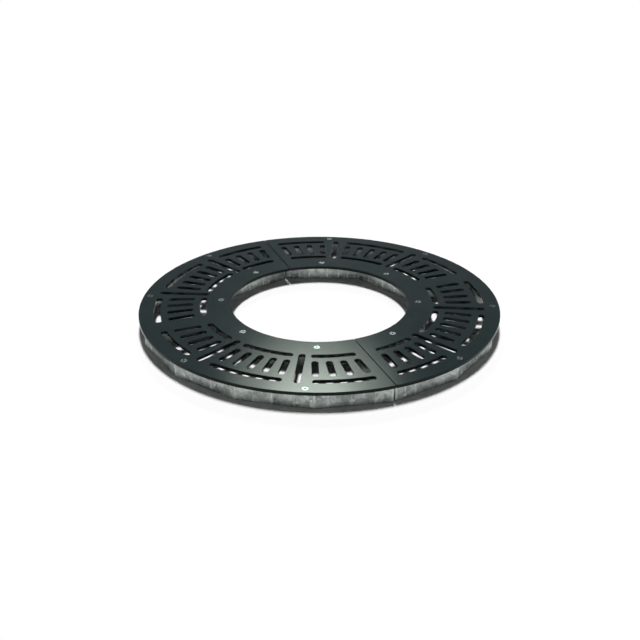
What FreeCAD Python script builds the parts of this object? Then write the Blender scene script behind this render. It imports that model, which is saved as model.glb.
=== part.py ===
import FreeCAD, Part
import math
import os

# A round steel tree grate in two halves that meet on one straight joint line, with a round opening for
# the trunk. Millimetres. The grate lies flat on the ground: X runs along the joint line, Z points up, and
# the origin is on the ground at the middle of the trunk opening. The front half lies toward -Y and the
# rear half toward +Y.

Vector = FreeCAD.Vector
UP = Vector(0, 0, 1)

# Deck plates
DECK_DIAMETER = 1200.0
TRUNK_OPENING = 594.0
DECK_THICKNESS = 10.0
JOINT_GAP = 3.0
EDGE_BREAK = 1.0

# Slots in the deck. Each quarter holds one fan of straight slots and the curved slots around it.
QUARTERS_IN_HALF = 2
SLOTS_IN_FAN = 15
LONG_SLOTS = (4, 10)
SLOT_WIDTH = 20.0
RIM_WIDTH = 50.0
COLLAR_WIDTH = 83.0
SLOT_LAND = 21.0
EDGE_STRIP = 33.5

# Galvanised box section in straight lengths with mitred ends, which make the two rings under the deck
TUBE_HEIGHT = 50.0
TUBE_WIDTH = 20.0
TUBE_WALL = 2.5
TUBE_INNER_CORNER = 1.5
OUTER_SIDES = 16
INNER_SIDES = 8
RIM_OVERHANG = 19.0
OPENING_OVERHANG = 25.0
WELD_GAP = 0.1

# Tapped collars drawn down out of the top wall of the tubes
TAPPED_DEPTH = 8.0
TAPPED_WALL = 1.5
OUTER_SCREW_TO_CORNER = 28.0

# Countersunk socket screws
SCREW_DIAMETER = 10.0
SCREW_LENGTH = 20.0
SCREW_TIP = 1.2
HEAD_DIAMETER = 20.0
HEAD_EDGE = 0.5
HEAD_RECESS = 0.2
SOCKET_WIDTH = 6.0
SOCKET_DEPTH = 3.6
SEAT_CLEARANCE = 0.1
HOLE_CLEARANCE = 0.5
THREAD_CLEARANCE = 0.1

# Heights and radii that follow from the sizes above
DECK_RADIUS = DECK_DIAMETER / 2
OPENING_RADIUS = TRUNK_OPENING / 2
DECK_TOP = TUBE_HEIGHT + DECK_THICKNESS
JOINT_FACE = JOINT_GAP / 2
TUBE_CORNER = TUBE_INNER_CORNER + TUBE_WALL
SLOT_RADIUS = SLOT_WIDTH / 2

# Distance from the middle of the grate to the outward face of each ring of tubes, at the middle of a side
OUTER_FACE = DECK_RADIUS - RIM_OVERHANG
INNER_FACE = OPENING_RADIUS + OPENING_OVERHANG

# Middle lines of the curved slots, and the circles that the straight slots end on
OUTER_CURVE = DECK_RADIUS - RIM_WIDTH - SLOT_RADIUS
INNER_CURVE = OPENING_RADIUS + COLLAR_WIDTH + SLOT_RADIUS
SHORT_SLOT_OUTER = OUTER_CURVE - SLOT_RADIUS - SLOT_LAND - SLOT_RADIUS
SHORT_SLOT_INNER = INNER_CURVE + SLOT_RADIUS + SLOT_LAND + SLOT_RADIUS

# The fan of each quarter spreads from a point set out along the middle line of the quarter,
# so that its first and last slots run beside the straight edges of the quarter.
QUARTER = 90.0
FAN_PITCH = QUARTER / (SLOTS_IN_FAN - 1)
FAN_OFFSET = (EDGE_STRIP + SLOT_RADIUS) / math.sin(math.radians(QUARTER / 2))


def at(radius, angle, z=0.0):
    """A point at a radius and an angle in degrees from the X axis."""
    turn = math.radians(angle)
    return Vector(radius * math.cos(turn), radius * math.sin(turn), z)


def arc(first, middle, last):
    return Part.Arc(first, middle, last).toShape()


def raised(outline, bottom, height):
    """A flat outline, with any inner outlines as holes, raised into a solid."""
    face = Part.makeFace(outline, "Part::FaceMakerBullseye")
    face.translate(Vector(0, 0, bottom))
    return face.extrude(Vector(0, 0, height))


# Deck plates

def fan_point(quarter_middle, slot, radius):
    """Where the middle line of a slot of the fan crosses a circle around the middle of the grate."""
    lean = math.radians(-QUARTER / 2 + slot * FAN_PITCH)
    reach = math.sqrt(radius ** 2 - (FAN_OFFSET * math.sin(lean)) ** 2) - FAN_OFFSET * math.cos(lean)
    point = Vector(FAN_OFFSET + reach * math.cos(lean), reach * math.sin(lean), 0)
    return FreeCAD.Rotation(UP, quarter_middle).multVec(point)


def straight_slot(start, end):
    along = (end - start).normalize()
    tip = along * SLOT_RADIUS
    side = Vector(-tip.y, tip.x, 0)
    return Part.Wire([
        Part.makeLine(start + side, end + side),
        arc(end + side, end + tip, end - side),
        Part.makeLine(end - side, start - side),
        arc(start - side, start - tip, start + side),
    ])


def curved_slot(radius, start, end):
    """A slot that follows a circle around the middle of the grate, with round ends at two points on it."""
    first = math.degrees(math.atan2(start.y, start.x))
    last = math.degrees(math.atan2(end.y, end.x))
    middle = (first + last) / 2
    inside = radius - SLOT_RADIUS
    outside = radius + SLOT_RADIUS
    end_tip = end + at(SLOT_RADIUS, last + 90)
    start_tip = start + at(SLOT_RADIUS, first - 90)
    return Part.Wire([
        arc(at(outside, first), at(outside, middle), at(outside, last)),
        arc(at(outside, last), end_tip, at(inside, last)),
        arc(at(inside, last), at(inside, middle), at(inside, first)),
        arc(at(inside, first), start_tip, at(outside, first)),
    ])


def quarter_slots(quarter_middle):
    """The straight slots of one quarter, and a curved slot inside and outside each group of short slots."""
    outlines = []
    for slot in range(SLOTS_IN_FAN):
        inner = INNER_CURVE if slot in LONG_SLOTS else SHORT_SLOT_INNER
        outer = OUTER_CURVE if slot in LONG_SLOTS else SHORT_SLOT_OUTER
        start = fan_point(quarter_middle, slot, inner)
        end = fan_point(quarter_middle, slot, outer)
        outlines.append(straight_slot(start, end))
    starts = [0] + [slot + 1 for slot in LONG_SLOTS]
    ends = [slot - 1 for slot in LONG_SLOTS] + [SLOTS_IN_FAN - 1]
    for first, last in zip(starts, ends):
        for radius in (INNER_CURVE, OUTER_CURVE):
            start = fan_point(quarter_middle, first, radius)
            end = fan_point(quarter_middle, last, radius)
            outlines.append(curved_slot(radius, start, end))
    return outlines


def half_ring_outline():
    """The rear half of the deck ring, set back from the joint line by half the joint gap."""
    outer_angle = math.degrees(math.asin(JOINT_FACE / DECK_RADIUS))
    inner_angle = math.degrees(math.asin(JOINT_FACE / OPENING_RADIUS))
    outer_start = at(DECK_RADIUS, outer_angle)
    outer_end = at(DECK_RADIUS, 180 - outer_angle)
    inner_start = at(OPENING_RADIUS, inner_angle)
    inner_end = at(OPENING_RADIUS, 180 - inner_angle)
    return Part.Wire([
        arc(outer_start, at(DECK_RADIUS, 90), outer_end),
        Part.makeLine(outer_end, inner_end),
        arc(inner_end, at(OPENING_RADIUS, 90), inner_start),
        Part.makeLine(inner_start, outer_start),
    ])


def seat_for_screw(place):
    """The countersink and through hole in the deck, for a screw in the place given."""
    head = HEAD_DIAMETER / 2 + SEAT_CLEARANCE
    hole = SCREW_DIAMETER / 2 + HOLE_CLEARANCE
    edge_depth = HEAD_RECESS + HEAD_EDGE + SEAT_CLEARANCE
    edge = Part.makeCylinder(head, edge_depth, place - UP * edge_depth)
    cone = Part.makeCone(hole, head, head - hole, place - UP * (edge_depth + head - hole))
    through = Part.makeCylinder(hole, DECK_THICKNESS, place - UP * DECK_THICKNESS)
    return edge.fuse([cone, through])


def deck_plate():
    """One half of the deck, with its top edges broken everywhere but along the joint."""
    outlines = [half_ring_outline()]
    for quarter in range(QUARTERS_IN_HALF):
        outlines += quarter_slots(QUARTER / 2 + quarter * QUARTER)
    plate = raised(outlines, TUBE_HEIGHT, DECK_THICKNESS)
    top_edges = [edge for edge in plate.Edges if edge.BoundBox.ZMin > DECK_TOP - DECK_THICKNESS / 2
                 and edge.BoundBox.YMax > JOINT_FACE + EDGE_BREAK]
    plate = plate.makeChamfer(EDGE_BREAK, top_edges)
    return plate.cut([seat_for_screw(place) for place in screw_places().values()])


# Box section frame

OUTER_TUBE = "outer_tube_{half}_%d"
INNER_TUBE = "inner_tube_{half}_%d"


def frame_sides():
    """The sides of the rear frame in order: a name, where its outward face looks, and how far out it is."""
    outer_turn = 360 / OUTER_SIDES
    inner_turn = 360 / INNER_SIDES
    outer = [(OUTER_TUBE % (side + 1), (side + 0.5) * outer_turn, OUTER_FACE)
             for side in range(OUTER_SIDES // 2)]
    inner = [(INNER_TUBE % (side + 1), (side + 0.5) * inner_turn + 180, -INNER_FACE)
             for side in range(INNER_SIDES // 2)]
    right, left = [("end_tube_{half}_%d" % end, -90, -JOINT_FACE) for end in (1, 2)]
    return outer + [left] + inner[::-1] + [right]


def frame_corner(side, following, depth):
    """Where two sides of the frame meet, at a depth into the tubes from their outward faces."""
    _, facing, distance = side
    _, next_facing, next_distance = following
    first, second = at(1, facing), at(1, next_facing)
    reach, next_reach = distance - depth, next_distance - depth
    cross = first.x * second.y - first.y * second.x
    x = (reach * second.y - next_reach * first.y) / cross
    y = (next_reach * first.x - reach * second.x) / cross
    return Vector(x, y, 0)


def rounded_rectangle(inset, corner):
    """An outline across the Y axis, of the box section or its hollow. The outward face is at X = 0."""
    left, right = inset, TUBE_WIDTH - inset
    bottom, top = inset, TUBE_HEIGHT - inset
    middles = [(right - corner, bottom + corner), (right - corner, top - corner),
               (left + corner, top - corner), (left + corner, bottom + corner)]
    arcs = []
    edges = []
    for number, (x, z) in enumerate(middles):
        turns = [math.radians(-90 + number * 90 + part * 45) for part in range(3)]
        arcs.append([Vector(x + corner * math.cos(turn), 0, z + corner * math.sin(turn)) for turn in turns])
    for number, points in enumerate(arcs):
        edges.append(arc(*points))
        edges.append(Part.makeLine(points[2], arcs[(number + 1) % len(arcs)][0]))
    return Part.Wire(edges)


def box_section(length):
    """A length of box section along Y, its outward face at X = 0 and the middle of its length at Y = 0."""
    outlines = [rounded_rectangle(0, TUBE_CORNER), rounded_rectangle(TUBE_WALL, TUBE_INNER_CORNER)]
    section = Part.makeFace(outlines, "Part::FaceMakerBullseye")
    section.translate(Vector(0, -length / 2, 0))
    return section.extrude(Vector(0, length, 0))


def cut_to_length(blank, corners):
    """A tube cut off along the sides of an outline seen from above."""
    outline = Part.makePolygon(corners + corners[:1])
    return blank.common(raised([outline], -TUBE_WALL, TUBE_HEIGHT + 2 * TUBE_WALL))


def frame_tube(before, side, after):
    """One side of the frame, mitred to the sides before and after it."""
    start, end = frame_corner(before, side, 0), frame_corner(side, after, 0)
    blank = box_section((end - start).Length + 4 * TUBE_WIDTH)
    blank.rotate(Vector(0, 0, 0), UP, side[1] + 180)
    blank.translate((start + end) / 2)
    clear_outside, clear_inside = -TUBE_WIDTH, 2 * TUBE_WIDTH
    return cut_to_length(blank, [
        frame_corner(before, side, clear_outside), frame_corner(side, after, clear_outside),
        frame_corner(side, after, clear_inside), frame_corner(before, side, clear_inside)])


def mid_tube():
    """The tube from ring to ring halfway round the half, its ends cut to fit the corners that it meets."""
    inner_slope = math.tan(math.pi / INNER_SIDES)
    outer_slope = math.tan(math.pi / OUTER_SIDES)
    start = (INNER_FACE + TUBE_WIDTH + WELD_GAP) / math.cos(math.pi / INNER_SIDES)
    end = (OUTER_FACE - TUBE_WIDTH - WELD_GAP) / math.cos(math.pi / OUTER_SIDES)
    blank = box_section(end - start + 4 * TUBE_WIDTH)
    blank.translate(Vector(-TUBE_WIDTH / 2, (start + end) / 2, 0))
    aside = TUBE_WIDTH
    return cut_to_length(blank, [
        Vector(-aside, start - aside * inner_slope, 0), Vector(0, start, 0),
        Vector(aside, start - aside * inner_slope, 0), Vector(aside, end - aside * outer_slope, 0),
        Vector(0, end, 0), Vector(-aside, end - aside * outer_slope, 0)])


# Screws and the tapped collars that they go into

def on_side(distance, facing, along):
    """A point on the deck over a side of the frame, by its distance out, direction and how far along."""
    return at(distance, facing, DECK_TOP) + at(along, facing + 90)


def outer_screws():
    """The outer screws of the rear half, by tube: at the far ends of each quarter's two middle tubes."""
    turn = 360 / OUTER_SIDES
    in_quarter = OUTER_SIDES // 4
    half_side = OUTER_FACE * math.tan(math.radians(turn / 2))
    along = half_side - OUTER_SCREW_TO_CORNER
    places = {}
    for quarter in range(QUARTERS_IN_HALF):
        following = quarter * in_quarter + in_quarter // 2
        for side, way in ((following - 1, -1), (following, 1)):
            place = on_side(OUTER_FACE - TUBE_WIDTH / 2, (side + 0.5) * turn, way * along)
            places[OUTER_TUBE % (side + 1)] = place
    return places


def inner_screws():
    """The place of each inner screw of the rear half, by its tube: at the middle of the tube's length."""
    turn = 360 / INNER_SIDES
    return {INNER_TUBE % (side + 1): on_side(INNER_FACE + TUBE_WIDTH / 2, (side + 0.5) * turn, 0.0)
            for side in range(INNER_SIDES // 2)}


def screw_places():
    return {**outer_screws(), **inner_screws()}


def tapped(tube, place):
    """A tube with the tapped collar for a screw, where the screw comes down into it."""
    hole_radius = SCREW_DIAMETER / 2 + THREAD_CLEARANCE
    bottom = Vector(place.x, place.y, TUBE_HEIGHT - TAPPED_DEPTH)
    collar = Part.makeCylinder(hole_radius + TAPPED_WALL, TAPPED_DEPTH - TUBE_WALL / 2, bottom)
    return tube.fuse(collar).cut(Part.makeCylinder(hole_radius, TAPPED_DEPTH, bottom))


def screw(place):
    """A countersunk socket screw, its head just below the top of the deck."""
    top = place.z - HEAD_RECESS
    head = HEAD_DIAMETER / 2
    shank = SCREW_DIAMETER / 2
    cone_top = top - HEAD_EDGE
    cone_bottom = cone_top - (head - shank)
    bottom = top - SCREW_LENGTH
    profile = [(0, top), (head, top), (head, cone_top), (shank, cone_bottom), (shank, bottom + SCREW_TIP),
               (shank - SCREW_TIP, bottom), (0, bottom), (0, top)]
    outline = Part.makePolygon([Vector(radius, 0, z) for radius, z in profile])
    body = Part.Face(outline).revolve(Vector(0, 0, 0), UP, 360)
    corner = SOCKET_WIDTH / 2 / math.cos(math.pi / 6)
    socket = Part.makePolygon([at(corner, side * 60, top - SOCKET_DEPTH) for side in range(7)])
    body = body.cut(Part.Face(socket).extrude(UP * SOCKET_DEPTH))
    body.translate(Vector(place.x, place.y, 0))
    return body


# The rear half, then the front half as the same half turned round

def half_pieces():
    pieces = {
        "deck_plate_{half}": deck_plate(),
        "mid_tube_{half}": mid_tube(),
    }
    sides = frame_sides()
    for number, side in enumerate(sides):
        tube = frame_tube(sides[number - 1], side, sides[(number + 1) % len(sides)])
        name = side[0]
        pieces[name] = tapped(tube, screw_places()[name]) if name in screw_places() else tube
    for number, place in enumerate(outer_screws().values(), 1):
        pieces["outer_screw_{half}_%d" % number] = screw(place)
    for number, place in enumerate(inner_screws().values(), 1):
        pieces["inner_screw_{half}_%d" % number] = screw(place)
    return pieces


os.makedirs("parts", exist_ok=True)
for half, turn in (("rear", 0), ("front", 180)):
    for name, shape in half_pieces().items():
        shape.rotate(Vector(0, 0, 0), UP, turn)
        node = name.format(half=half)
        shape.exportStep("parts/" + node + ".step")
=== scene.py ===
import math

import bmesh
import bpy
from mathutils import Matrix, Vector


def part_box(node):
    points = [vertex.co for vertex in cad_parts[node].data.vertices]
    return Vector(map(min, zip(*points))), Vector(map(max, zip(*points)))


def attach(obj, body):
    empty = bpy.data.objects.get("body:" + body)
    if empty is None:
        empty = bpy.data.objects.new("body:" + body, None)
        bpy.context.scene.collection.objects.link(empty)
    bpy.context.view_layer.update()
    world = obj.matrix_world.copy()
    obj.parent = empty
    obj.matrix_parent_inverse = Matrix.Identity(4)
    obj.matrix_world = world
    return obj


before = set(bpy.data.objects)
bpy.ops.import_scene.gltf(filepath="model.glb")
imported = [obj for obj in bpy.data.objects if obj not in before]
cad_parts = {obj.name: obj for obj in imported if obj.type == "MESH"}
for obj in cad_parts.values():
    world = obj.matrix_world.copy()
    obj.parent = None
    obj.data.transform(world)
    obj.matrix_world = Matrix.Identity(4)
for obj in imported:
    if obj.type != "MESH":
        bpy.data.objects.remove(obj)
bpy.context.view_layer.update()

# Sizes of the grate that the coat and the welds follow, in metres
DECK_RADIUS = 0.600
OPENING_RADIUS = 0.297
EDGE_BREAK = 0.001
TUBE_HEIGHT = 0.050
TUBE_WIDTH = 0.020
JOINT_FACE = 0.0015
OUTER_FACE = 0.581
INNER_FACE = 0.322
OUTER_SIDES = 16
INNER_SIDES = 8

# Turn of each half from the rear one, in degrees
HALVES = {"rear": 0.0, "front": 180.0}

# Weld beads, in metres. The swell of the ripples and the tips are shares of the radius.
BEAD_RADIUS = 0.0030
BEAD_OUT = 0.0006
BEAD_SIDES = 10
RIPPLE_PITCH = 0.0026
RIPPLE_SWELL = (0.91, 1.0, 0.97)
BEAD_TIP = 0.55
BEAD_FROM_EDGE = 0.004
BEAD_MERGE = 1e-7
GROUND_WELD_WIDTH = 0.0075
GROUND_WELD_PROUD = 0.0008
GROUND_WELD_SUNK = 0.0003
WELD_FROM_JOINT = 0.0065

# Satin coat of the deck: its darkest and lightest colour, its gloss, and the width of each of its markings
COAT_COLOURS = ((0.0190, 0.0285, 0.0305), (0.0235, 0.0345, 0.0370))
COAT_ROUGHNESS = (0.115, 0.131)
COAT_IOR = 1.3
COAT_GLOSS = 0.5
COAT_CLOUD = 0.11
COAT_GRAIN = 0.0016
COAT_GRAIN_SHARE = 0.3
COAT_TONES = (0.45, 0.85)
COAT_RUBBING = 0.045
PEEL_WIDTH = 0.0024
PEEL_STRENGTH = 0.03
PEEL_DEPTH = 0.0002

# Darker, less glossy colour on the round edges of the deck
EDGE_COLOUR = (0.011, 0.0145, 0.0145)
EDGE_GLOSS = 0.2

# Zinc: its darkest and lightest colour and the width of its crystals, on each kind of piece
TUBE_ZINC = ((0.19, 0.21, 0.20), (0.64, 0.70, 0.665))
# The inner tubes get a lighter copy of the same zinc: painted light, for the light that falls on the inner
# ring
INNER_TUBE_ZINC_PAINTED_LIGHT = ((0.235, 0.26, 0.245), (0.77, 0.84, 0.80))
WELD_ZINC = ((0.38, 0.42, 0.40), (0.64, 0.70, 0.665))
TUBE_CRYSTAL = 0.020
WELD_CRYSTAL = 0.006
WELD_ZINC_SHIFT = (0.13, 0.41, 0.0)
ZINC_ROUGHNESS = (0.42, 0.56)
ZINC_CLOUD = 0.05
ZINC_SPECKLE = 0.0022
SPANGLE_STRENGTH = 0.25
SPANGLE_DEPTH = 0.0003

# Small crystals, straight-edged patches and the reach of ragged edges, as shares of the crystals' width
SMALL_CRYSTAL = 0.3
PATCH = 3.0
RAGGED_REACH = 0.6

# How fine the ragged edges are, in ripples to the metre
RAGGED_SCALE = 110.0

# What each marking adds to the tone of the large crystals, and the stretch of tones that comes of it
SMALL_CRYSTAL_TONE = 0.6
PATCH_TONE = 0.4
CLOUD_TONE = 1.2
FLECK_TONE = 0.65
ZINC_TONES = (0.7, 2.9)

# What the crystals and the flecks add to the relief of the speckle
CRYSTAL_RELIEF = 0.5
FLECK_RELIEF = 1.5

# Pale flecks of the zinc: the distance between them, their radius as a share of it, and the share of places
# that hold one at the foot of a tube and above it
FLECK_SPACING = 0.026
FLECK_RADIUS = (0.13, 0.19)
FLECK_HEIGHT = (0.006, 0.016)
FLECK_CHANCE = (0.75, 0.3)

# Pale runs of the zinc: the distance between them as an angle round the grate, their half width and that of
# their drops as shares of it, the share of places that hold one, and the heights that a drop lies between
RUN_SPACING = 0.11
RUN_HALF_WIDTH = (0.012, 0.03)
RUN_CHANCE = 0.6
RUN_BREAK = 0.012
RUN_BREAK_TONES = (0.35, 0.65)
RUN_FAINTNESS = (0.25, 1.0)
DROP_HALF_WIDTH = (0.06, 0.10)
DROP_FOOT = (0.010, 0.013)
DROP_TOP = (0.021, 0.025)
DROP_RAGGED_WIDTH = 0.006
DROP_RAGGED_HEIGHT = 0.008

# Screws: their darkest and lightest colour, the turning marks and stains, and the painted shade in the
# socket
SCREW_COLOURS = ((0.045, 0.05, 0.055), (0.34, 0.38, 0.40))
SCREW_ROUGHNESS = (0.21, 0.29)
SCREW_METAL = 0.9
TURNING_SCALE = 600.0
TURNING_SHARE = 0.3
TURNING_STRENGTH = 0.05
TURNING_DEPTH = 0.00005
STAIN_WIDTH = 0.004
STAIN_STRETCH = (0.35, 0.95)
STAIN_TONES = (0.7, 1.0)
SOCKET_EDGE = (0.0028, 0.0033)
# How far the socket is darkened: painted shade in the recess of the socket
PAINTED_SOCKET_SHADE_TONE = -1.0

# The middle stretch of soft blotches, and the way of a value that falls where another rises
MIDDLE = (0.3, 0.7)
RISING = (0.0, 1.0)
FALLING = (1.0, 0.0)

# Brightness of the studio all round, by the sine of the height
STUDIO_GLOW = ((0.0, 0.95), (0.07, 0.80), (0.14, 0.35), (0.25, 0.22), (0.36, 0.15), (0.42, 0.085),
               (0.47, 0.045), (0.55, 0.035), (1.0, 0.035))

# Light that the floor throws back, by the distance from the middle: little under the deck
FLOOR_BOUNCE = ((0.0, 0.55), (0.34, 0.55), (0.37, 0.15), (0.53, 0.15), (0.56, 0.55))

# Half the width of the floor, and where it goes over into the white background
FLOOR_REACH = 60.0
FAR_FLOOR = (3.0, 8.0)

# Colours of the light
WHITE = (1.0, 1.0, 1.0)
BACK_LAMP_COLOUR = (0.89, 1.0, 0.88)

# Camera that sees the grate as the photograph does
CAMERA_PLACE = (2.5319, -0.9745, 1.3311)
CAMERA_DOWN = 26.35
CAMERA_HEADING = 68.908
CAMERA_LENS = 50.0
CAMERA_SENSOR = 36.0


# Nodes of the materials

def start_material(name):
    material = bpy.data.materials.new(name)
    material.use_nodes = True
    tree = material.node_tree
    return material, tree, tree.nodes["Principled BSDF"]


def connect(tree, value, socket):
    """Feeds a socket from another node, or sets it to a plain value."""
    if isinstance(value, bpy.types.NodeSocket):
        tree.links.new(value, socket)
    else:
        socket.default_value = value


def add_node(tree, kind, settings, inputs):
    made = tree.nodes.new(kind)
    for name, value in settings.items():
        setattr(made, name, value)
    for name, value in inputs.items():
        connect(tree, value, made.inputs[name])
    return made


def place_on_piece(tree, shift=(0.0, 0.0, 0.0)):
    """The position on the piece, moved by the shift, for a pattern to follow."""
    piece = add_node(tree, "ShaderNodeTexCoord", {}, {}).outputs["Object"]
    return add_node(tree, "ShaderNodeMapping", {}, {"Vector": piece, "Location": shift}).outputs["Vector"]


def axes(tree, where):
    return add_node(tree, "ShaderNodeSeparateXYZ", {}, {"Vector": where}).outputs


def mottle(tree, where, size, detail, roughness=0.5):
    """Soft random blotches about as wide as the size given."""
    made = add_node(tree, "ShaderNodeTexNoise", {}, {
        "Vector": where, "Scale": 1.0 / size, "Detail": detail, "Roughness": roughness})
    return made.outputs["Fac"]


def random_values(tree, made):
    """The three random values of each cell, and how far a position is from the middle of its cell."""
    values = add_node(tree, "ShaderNodeSeparateColor", {}, {"Color": made.outputs["Color"]}).outputs
    return values, made.outputs["Distance"]


def cells(tree, where, size, shape="EUCLIDEAN"):
    """Random cells about as wide as the size given."""
    return random_values(tree, add_node(tree, "ShaderNodeTexVoronoi", {"distance": shape}, {
        "Vector": where, "Scale": 1.0 / size}))


def cells_around(tree, where, angle):
    """Random cells round the upright axis, each about as wide as the angle given."""
    sides = axes(tree, where)
    around = math_node(tree, "ARCTAN2", sides["Y"], sides["X"])
    return random_values(tree, add_node(tree, "ShaderNodeTexVoronoi", {"voronoi_dimensions": "1D"}, {
        "W": around, "Scale": 1.0 / angle}))


def math_node(tree, operation, *values):
    return add_node(tree, "ShaderNodeMath", {"operation": operation}, dict(enumerate(values))).outputs[0]


def plus_share(tree, first, second, share):
    """The first value plus a share of the second."""
    return math_node(tree, "MULTIPLY_ADD", second, share, first)


def spread(tree, value, stretch, onto=RISING):
    """Carries a stretch of a value over onto another stretch, and holds it there."""
    made = add_node(tree, "ShaderNodeMapRange", {}, {
        "Value": value, "From Min": stretch[0], "From Max": stretch[1],
        "To Min": onto[0], "To Max": onto[1]})
    return made.outputs["Result"]


def shades(tree, value, stops):
    """A grey for each value, by stops of a value and its grey."""
    made = add_node(tree, "ShaderNodeValToRGB", {}, {"Fac": value})
    points = made.color_ramp.elements
    for _ in stops[2:]:
        points.new(0.5)
    for point, (place, grey) in zip(points, stops):
        point.position = place
        point.color = (grey, grey, grey, 1.0)
    return made.outputs["Color"]


def from_axis(tree, where):
    """How far a position is from the upright axis of its pattern."""
    flat = add_node(tree, "ShaderNodeVectorMath", {"operation": "MULTIPLY"}, {0: where, 1: (1.0, 1.0, 0.0)})
    made = add_node(tree, "ShaderNodeVectorMath", {"operation": "LENGTH"}, {0: flat.outputs[0]})
    return made.outputs["Value"]


def colour_between(tree, amount, first, second):
    """A colour part way from the first to the second, each plain or from another node."""
    ends = [colour if isinstance(colour, bpy.types.NodeSocket) else (*colour, 1.0)
            for colour in (first, second)]
    made = add_node(tree, "ShaderNodeMix", {"data_type": "RGBA"}, {0: amount, 6: ends[0], 7: ends[1]})
    return made.outputs[2]


def bump(tree, shader, height, strength, depth):
    made = add_node(tree, "ShaderNodeBump", {}, {"Height": height, "Strength": strength, "Distance": depth})
    tree.links.new(made.outputs["Normal"], shader.inputs["Normal"])


# Finishes of the grate

def anthracite_coat():
    """Satin powder coat, nearly black, with a fine orange peel, darker and less glossy on the deck's round
    edges.
    """
    material, tree, shader = start_material("anthracite_coat")
    where = place_on_piece(tree)
    clouds = mottle(tree, where, COAT_CLOUD, detail=3.0)
    grain = mottle(tree, where, COAT_GRAIN, detail=1.0)
    tone = spread(tree, plus_share(tree, clouds, grain, COAT_GRAIN_SHARE), COAT_TONES)
    face = colour_between(tree, tone, *COAT_COLOURS)
    out = from_axis(tree, where)
    on_edge = math_node(tree, "MAXIMUM", spread(tree, out, (DECK_RADIUS - EDGE_BREAK, DECK_RADIUS)),
                        spread(tree, out, (OPENING_RADIUS, OPENING_RADIUS + EDGE_BREAK), FALLING))
    connect(tree, colour_between(tree, on_edge, face, EDGE_COLOUR), shader.inputs["Base Color"])
    gloss = spread(tree, on_edge, RISING, (COAT_GLOSS, EDGE_GLOSS))
    connect(tree, gloss, shader.inputs["Specular IOR Level"])
    rubbed = mottle(tree, where, COAT_RUBBING, detail=4.0, roughness=0.6)
    connect(tree, spread(tree, rubbed, MIDDLE, COAT_ROUGHNESS), shader.inputs["Roughness"])
    bump(tree, shader, mottle(tree, where, PEEL_WIDTH, detail=2.0), PEEL_STRENGTH, PEEL_DEPTH)
    shader.inputs["IOR"].default_value = COAT_IOR
    return material


def zinc_flecks(tree, ragged, height):
    """Pale flecks, more of them at the foot of a tube."""
    picked, from_middle = cells(tree, ragged, FLECK_SPACING)
    held = math_node(tree, "LESS_THAN", picked["Red"], spread(tree, height, FLECK_HEIGHT, FLECK_CHANCE))
    return math_node(tree, "MULTIPLY", spread(tree, from_middle, FLECK_RADIUS, FALLING), held)


def zinc_runs(tree, where, height):
    """Pale upright runs where the zinc came down, each with a drop near its foot."""
    picked, aside = cells_around(tree, where, RUN_SPACING)
    broken = spread(tree, mottle(tree, where, RUN_BREAK, detail=2.0), RUN_BREAK_TONES, RUN_FAINTNESS)
    run = math_node(tree, "MULTIPLY", spread(tree, aside, RUN_HALF_WIDTH, FALLING), broken)
    ripple = mottle(tree, where, DROP_RAGGED_WIDTH, detail=2.0)
    uneven = plus_share(tree, height, ripple, DROP_RAGGED_HEIGHT)
    low = math_node(tree, "MULTIPLY", spread(tree, uneven, DROP_FOOT),
                    spread(tree, uneven, DROP_TOP, FALLING))
    drop = math_node(tree, "MULTIPLY", spread(tree, aside, DROP_HALF_WIDTH, FALLING), low)
    held = math_node(tree, "LESS_THAN", picked["Red"], RUN_CHANCE)
    return math_node(tree, "MULTIPLY", math_node(tree, "MAXIMUM", run, drop), held)


def zinc(name, crystal, colours, shift=(0.0, 0.0, 0.0)):
    """Hot-dip galvanising: ragged crystals and straight-edged patches of grey, with pale flecks and runs."""
    material, tree, shader = start_material(name)
    where = place_on_piece(tree, shift)
    height = axes(tree, where)["Z"]
    sway = add_node(tree, "ShaderNodeTexNoise", {}, {"Vector": where, "Scale": RAGGED_SCALE, "Detail": 3.0})
    ragged = add_node(tree, "ShaderNodeVectorMath", {"operation": "MULTIPLY_ADD"}, {
        0: sway.outputs["Color"], 1: (crystal * RAGGED_REACH,) * 3, 2: where}).outputs[0]
    large, _ = cells(tree, ragged, crystal)
    small, _ = cells(tree, ragged, crystal * SMALL_CRYSTAL)
    patches, _ = cells(tree, where, crystal * PATCH, "CHEBYCHEV")
    clouds = mottle(tree, where, ZINC_CLOUD, detail=5.0, roughness=0.65)
    tone = plus_share(tree, large["Red"], small["Green"], SMALL_CRYSTAL_TONE)
    tone = plus_share(tree, tone, patches["Blue"], PATCH_TONE)
    tone = spread(tree, plus_share(tree, tone, clouds, CLOUD_TONE), ZINC_TONES)
    pale = math_node(tree, "MAXIMUM", zinc_flecks(tree, ragged, height), zinc_runs(tree, where, height))
    tone = plus_share(tree, tone, pale, FLECK_TONE)
    connect(tree, colour_between(tree, tone, *colours), shader.inputs["Base Color"])
    connect(tree, spread(tree, large["Blue"], RISING, ZINC_ROUGHNESS), shader.inputs["Roughness"])
    speckle = mottle(tree, where, ZINC_SPECKLE, detail=3.0)
    relief = plus_share(tree, speckle, large["Red"], CRYSTAL_RELIEF)
    relief = plus_share(tree, relief, pale, FLECK_RELIEF)
    bump(tree, shader, relief, SPANGLE_STRENGTH, SPANGLE_DEPTH)
    shader.inputs["Metallic"].default_value = 1.0
    return material


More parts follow.
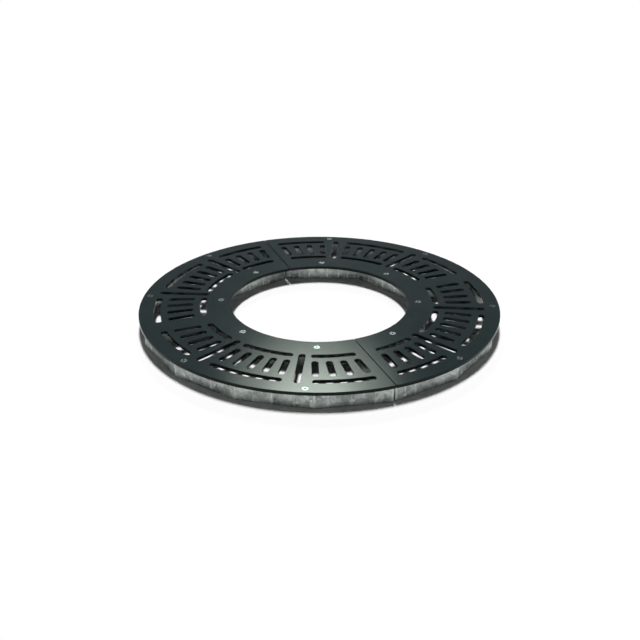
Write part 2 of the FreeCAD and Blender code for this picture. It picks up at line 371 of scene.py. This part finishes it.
def stainless(name, middle):
    """Dull turned stainless steel with fine rings around the middle of the screw, and painted shade in its
    socket.
    """
    material, tree, shader = start_material(name)
    where = place_on_piece(tree, (-middle.x, -middle.y, 0.0))
    rings = add_node(tree, "ShaderNodeTexWave", {"wave_type": "RINGS", "rings_direction": "Z"}, {
        "Vector": where, "Scale": TURNING_SCALE, "Distortion": 1.0, "Detail": 1.0}).outputs["Fac"]
    stain = mottle(tree, where, STAIN_WIDTH, detail=3.0)
    tone = spread(tree, plus_share(tree, stain, rings, TURNING_SHARE), STAIN_STRETCH, STAIN_TONES)
    # The socket is painted dark: painted shade in the recess of the socket
    painted_socket_shade = spread(tree, from_axis(tree, where), SOCKET_EDGE, FALLING)
    tone = plus_share(tree, tone, painted_socket_shade, PAINTED_SOCKET_SHADE_TONE)
    connect(tree, colour_between(tree, tone, *SCREW_COLOURS), shader.inputs["Base Color"])
    connect(tree, spread(tree, stain, MIDDLE, SCREW_ROUGHNESS), shader.inputs["Roughness"])
    bump(tree, shader, rings, TURNING_STRENGTH, TURNING_DEPTH)
    shader.inputs["Metallic"].default_value = SCREW_METAL
    return material


def dress(name, material):
    for material_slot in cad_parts[name].material_slots:
        material_slot.material = material


coat = anthracite_coat()
tube_zinc = zinc("galvanised_tube", TUBE_CRYSTAL, TUBE_ZINC)
# A lighter copy of the tube zinc for the inner tubes: painted light
inner_tube_zinc_painted_light = zinc("galvanised_inner_tube_painted_light", TUBE_CRYSTAL, INNER_TUBE_ZINC_PAINTED_LIGHT)
weld_zinc = zinc("galvanised_weld", WELD_CRYSTAL, WELD_ZINC, WELD_ZINC_SHIFT)

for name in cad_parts:
    if name.startswith("deck_plate"):
        dress(name, coat)
    elif "screw" in name:
        lowest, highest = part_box(name)
        dress(name, stainless("stainless_" + name, (lowest + highest) / 2))
    elif name.startswith("inner_tube"):
        dress(name, inner_tube_zinc_painted_light)
    else:
        dress(name, tube_zinc)


# Welds of the galvanised frame, made on the rear half and turned for the front half

def at(radius, angle, z=0.0):
    turn = math.radians(angle)
    return Vector((radius * math.cos(turn), radius * math.sin(turn), z))


def ring_corners(face, sides):
    """How far out the corners of a ring of tubes are on the face given, and the way each one faces."""
    out = face / math.cos(math.pi / sides)
    return [(out, corner * 360 / sides) for corner in range(1, sides // 2)]


def ring_end(face, sides, y):
    """How far out a face of a ring is beside the joint, at a distance from the joint line."""
    half_turn = math.pi / sides
    return (face - y * math.sin(half_turn)) / math.cos(half_turn)


def upright_bead(mesh, x, y, radius=BEAD_RADIUS, flatten=1.0, facing=0.0):
    """An upright weld bead in overlapping ripples. A ground weld is flattened the way it faces."""
    before = set(mesh.verts)
    length = TUBE_HEIGHT - 2 * BEAD_FROM_EDGE
    steps = len(RIPPLE_SWELL) * round(length / RIPPLE_PITCH)
    step = length / steps
    ring = bmesh.ops.create_circle(mesh, segments=BEAD_SIDES, radius=radius)["verts"]
    edges = list({edge for vert in ring for edge in vert.link_edges})
    bmesh.ops.spin(mesh, geom=ring + edges, axis=(0, 0, 1), dvec=(0, 0, step), angle=0.0, steps=steps)
    made = [vert for vert in mesh.verts if vert not in before]
    bmesh.ops.remove_doubles(mesh, verts=made, dist=BEAD_MERGE)
    made = [vert for vert in mesh.verts if vert not in before]
    for vert in made:
        number = round(vert.co.z / step)
        swell = BEAD_TIP if number in (0, steps) else RIPPLE_SWELL[number % len(RIPPLE_SWELL)]
        vert.co.x *= swell * flatten
        vert.co.y *= swell
    ends = [edge for edge in mesh.edges if edge.is_boundary]
    bmesh.ops.holes_fill(mesh, edges=ends, sides=BEAD_SIDES)
    place = Matrix.Translation((x, y, BEAD_FROM_EDGE))
    turn = Matrix.Rotation(math.radians(facing), 4, "Z")
    bmesh.ops.transform(mesh, matrix=place @ turn, verts=made)


def ground_bead(mesh, place, facing):
    """A weld ground nearly flush with the faces beside it."""
    radius = GROUND_WELD_WIDTH / 2
    upright_bead(mesh, place.x, place.y, radius, GROUND_WELD_PROUD / radius, facing)


def ground_beads(mesh):
    """The welds that are ground: on the corners that stick out, and on the faces beside the joint."""
    for face, sides in ((OUTER_FACE, OUTER_SIDES), (INNER_FACE + TUBE_WIDTH, INNER_SIDES)):
        for out, facing in ring_corners(face, sides):
            ground_bead(mesh, at(out - GROUND_WELD_SUNK, facing), facing)
    for face, sides in ((OUTER_FACE, OUTER_SIDES), (INNER_FACE, INNER_SIDES)):
        out = ring_end(face, sides, WELD_FROM_JOINT)
        for side in (1, -1):
            ground_bead(mesh, Vector((side * out, WELD_FROM_JOINT, 0.0)), side * 180 / sides)


def corner_beads(mesh):
    """Beads in the inside corners of the rings."""
    for face, sides in ((OUTER_FACE - TUBE_WIDTH, OUTER_SIDES), (INNER_FACE, INNER_SIDES)):
        for out, facing in ring_corners(face, sides):
            place = at(out - BEAD_OUT, facing)
            upright_bead(mesh, place.x, place.y)


def end_tube_beads(mesh):
    """Beads in the inside corners between the end tubes and the rings."""
    y = JOINT_FACE + TUBE_WIDTH
    outer = ring_end(OUTER_FACE - TUBE_WIDTH, OUTER_SIDES, y) - BEAD_OUT
    inner = ring_end(INNER_FACE + TUBE_WIDTH, INNER_SIDES, y) + BEAD_OUT
    for x in (outer, inner, -outer, -inner):
        upright_bead(mesh, x, y + BEAD_OUT)


def mid_tube_beads(mesh):
    """Beads on both sides of the mid tube, at both of its ends."""
    lowest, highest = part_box("mid_tube_rear")
    outer_end = highest.y - TUBE_WIDTH / 2 * math.tan(math.pi / OUTER_SIDES)
    for x in (lowest.x - BEAD_OUT, highest.x + BEAD_OUT):
        upright_bead(mesh, x, lowest.y + BEAD_OUT)
        upright_bead(mesh, x, outer_end - BEAD_OUT)


def lay_welds(name, lay):
    """Lays a set of welds on each half, as a piece that moves with the half."""
    for half, turn in HALVES.items():
        mesh = bmesh.new()
        lay(mesh)
        bmesh.ops.rotate(mesh, verts=mesh.verts, matrix=Matrix.Rotation(math.radians(turn), 3, "Z"))
        bmesh.ops.recalc_face_normals(mesh, faces=mesh.faces)
        data = bpy.data.meshes.new(name + "_" + half)
        mesh.to_mesh(data)
        mesh.free()
        data.shade_smooth()
        data.materials.append(weld_zinc)
        piece = bpy.data.objects.new(name + "_" + half, data)
        bpy.context.scene.collection.objects.link(piece)
        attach(piece, half + "_half")


lay_welds("ground_welds", ground_beads)
lay_welds("corner_welds", corner_beads)
lay_welds("end_tube_welds", end_tube_beads)
lay_welds("mid_tube_welds", mid_tube_beads)


# Floor, light and camera

def white_floor():
    """A matt white floor that keeps the grate's shadow, stays white far off, and is clear from below."""
    material, tree, shader = start_material("white_floor")
    tree.nodes.remove(shader)
    path = add_node(tree, "ShaderNodeLightPath", {}, {}).outputs
    seen = math_node(tree, "MAXIMUM", path["Is Camera Ray"], path["Is Glossy Ray"])
    seen = math_node(tree, "MAXIMUM", seen, path["Is Transmission Ray"])
    out = from_axis(tree, place_on_piece(tree))
    colour = colour_between(tree, seen, shades(tree, out, FLOOR_BOUNCE), WHITE)
    near = add_node(tree, "ShaderNodeBsdfDiffuse", {}, {"Color": colour}).outputs["BSDF"]
    glow = add_node(tree, "ShaderNodeEmission", {}, {"Color": (*WHITE, 1.0), "Strength": 1.0})
    far = glow.outputs["Emission"]
    far_off = math_node(tree, "MULTIPLY", seen, spread(tree, out, FAR_FLOOR))
    above = add_node(tree, "ShaderNodeMixShader", {}, {0: far_off, 1: near, 2: far}).outputs["Shader"]
    clear = add_node(tree, "ShaderNodeBsdfTransparent", {}, {}).outputs["BSDF"]
    below = add_node(tree, "ShaderNodeNewGeometry", {}, {}).outputs["Backfacing"]
    shown = add_node(tree, "ShaderNodeMixShader", {}, {0: below, 1: above, 2: clear}).outputs["Shader"]
    tree.links.new(shown, tree.nodes["Material Output"].inputs["Surface"])
    return material


def lay_floor():
    mesh = bmesh.new()
    bmesh.ops.create_grid(mesh, x_segments=1, y_segments=1, size=FLOOR_REACH)
    data = bpy.data.meshes.new("floor")
    mesh.to_mesh(data)
    mesh.free()
    data.materials.append(white_floor())
    floor = bpy.data.objects.new("floor", data)
    bpy.context.scene.collection.objects.link(floor)


def hang_lamp(name, distance, height, aside, half_angles, energy, colour):
    """An oval lamp beyond the grate. Its height, its turn aside and its half angles are in degrees."""
    lamp = bpy.data.lights.new(name, "AREA")
    lamp.shape = "ELLIPSE"
    lamp.size, lamp.size_y = [2 * distance * math.tan(math.radians(angle)) for angle in half_angles]
    lamp.energy = energy
    lamp.color = colour
    hung = bpy.data.objects.new(name, lamp)
    bpy.context.scene.collection.objects.link(hung)
    rise = math.radians(height)
    place = at(distance * math.cos(rise), CAMERA_HEADING + 90 - aside, distance * math.sin(rise))
    hung.location = place
    hung.rotation_euler = (-place).to_track_quat("-Z", "Y").to_euler()
    hung.visible_camera = False
    return hung


def light_studio():
    """Soft light all round, dim at the height that the deck mirrors."""
    world = bpy.data.worlds.new("studio")
    world.use_nodes = True
    bpy.context.scene.world = world
    tree = world.node_tree
    direction = add_node(tree, "ShaderNodeTexCoord", {}, {}).outputs["Generated"]
    glow = shades(tree, axes(tree, direction)["Z"], STUDIO_GLOW)
    tree.links.new(glow, tree.nodes["Background"].inputs["Color"])


def place_camera():
    lens = bpy.data.cameras.new("camera")
    lens.lens = CAMERA_LENS
    lens.sensor_width = CAMERA_SENSOR
    camera = bpy.data.objects.new("camera", lens)
    bpy.context.scene.collection.objects.link(camera)
    camera.location = CAMERA_PLACE
    camera.rotation_euler = (math.radians(90 - CAMERA_DOWN), 0.0, math.radians(CAMERA_HEADING))
    bpy.context.scene.camera = camera


lay_floor()
light_studio()

# Seen from above, the deck mirrors a pale card, and not the small bright lamp that lights it from there
overhead_lamp = hang_lamp("overhead_lamp", distance=40.0, height=77.0, aside=0.0, half_angles=(3.4, 8.5),
                          energy=15000.0, colour=WHITE)
overhead_lamp.visible_glossy = False
overhead_card = hang_lamp("overhead_card", distance=40.0, height=90.0, aside=0.0, half_angles=(32.0, 32.0),
                          energy=2400.0, colour=WHITE)
overhead_card.visible_diffuse = False

# The sheen on the near side of the deck, with a softer rim around it
hang_lamp("back_lamp", distance=30.0, height=34.2, aside=-0.65, half_angles=(3.7, 4.0),
          energy=500.0, colour=BACK_LAMP_COLOUR)
hang_lamp("back_lamp_rim", distance=30.0, height=34.2, aside=-0.65, half_angles=(6.5, 6.4),
          energy=380.0, colour=BACK_LAMP_COLOUR)

place_camera()
bpy.context.scene.view_settings.view_transform = "Standard"
